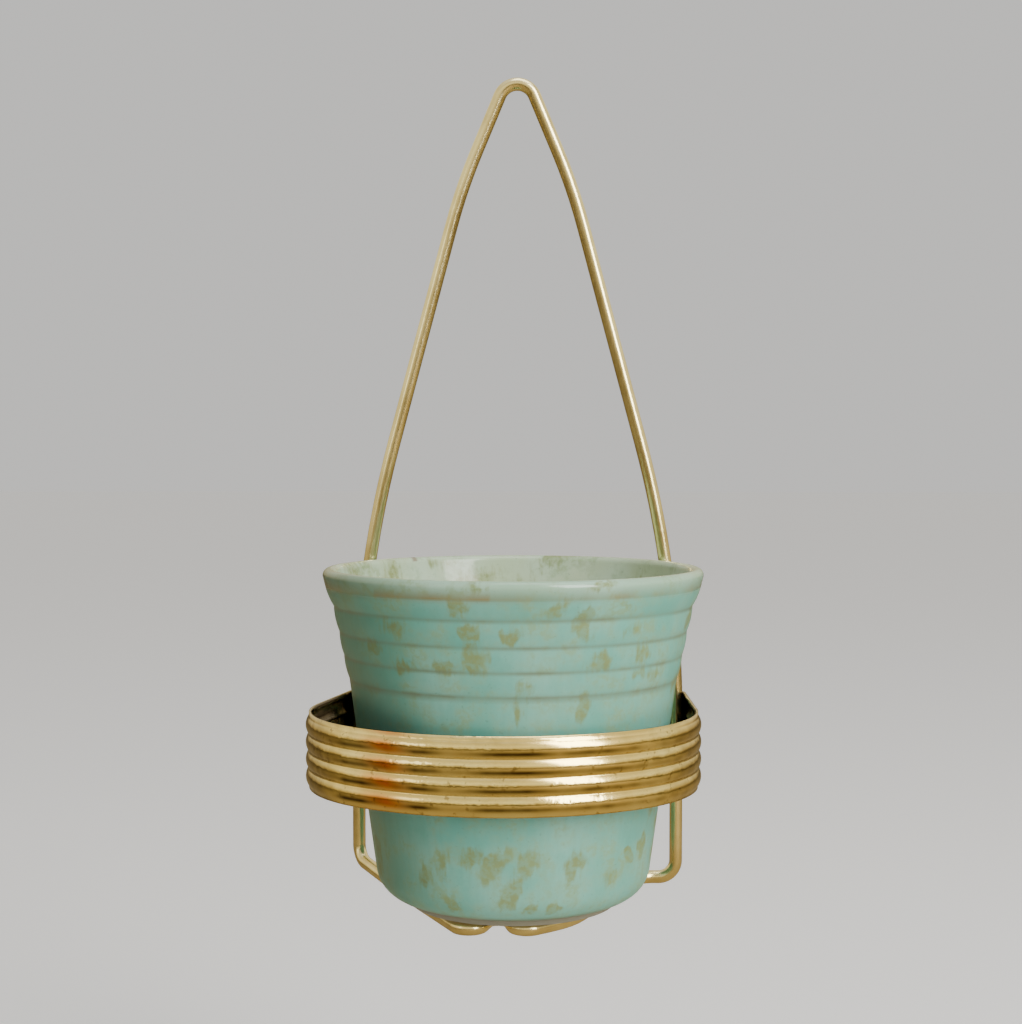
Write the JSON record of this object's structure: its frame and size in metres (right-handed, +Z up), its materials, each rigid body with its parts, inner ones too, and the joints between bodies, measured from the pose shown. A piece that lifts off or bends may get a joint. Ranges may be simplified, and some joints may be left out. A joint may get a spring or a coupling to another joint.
{
  "type": "hanging planter",
  "caption": "Glazed ceramic pot with stepped ribs and a rounded lip, standing in a bent gold wire hanger behind a ribbed metal strip; the wire's top bend hangs on a nail.",
  "frame": {"origin": "hanging point: the underside of the wire's top bend, where the nail bears", "axes": "+Z up along the wall, +X to the right seen from the room, +Y into the wall, so the room is at -Y"},
  "size_m": [0.1153, 0.1102, 0.2495],
  "materials": {
    "wire_gold": "satin pale gold",
    "strip_gold": "polished gold, darkened in the flutes",
    "glaze": "satin sea-green glaze with olive blotches, glossy at the lip"
  },
  "bodies": {
    "holder": {"hanger_wire": "wire_gold", "ribbed_band": "strip_gold"},
    "pot": {"pot": "glaze"}
  },
  "joints": [
    {"name": "pot_lift", "type": "slide", "parent": "holder", "child": "pot", "axis": [0, -0.1822, 0.9833], "range_m": [0, 0.15]}
  ]
}
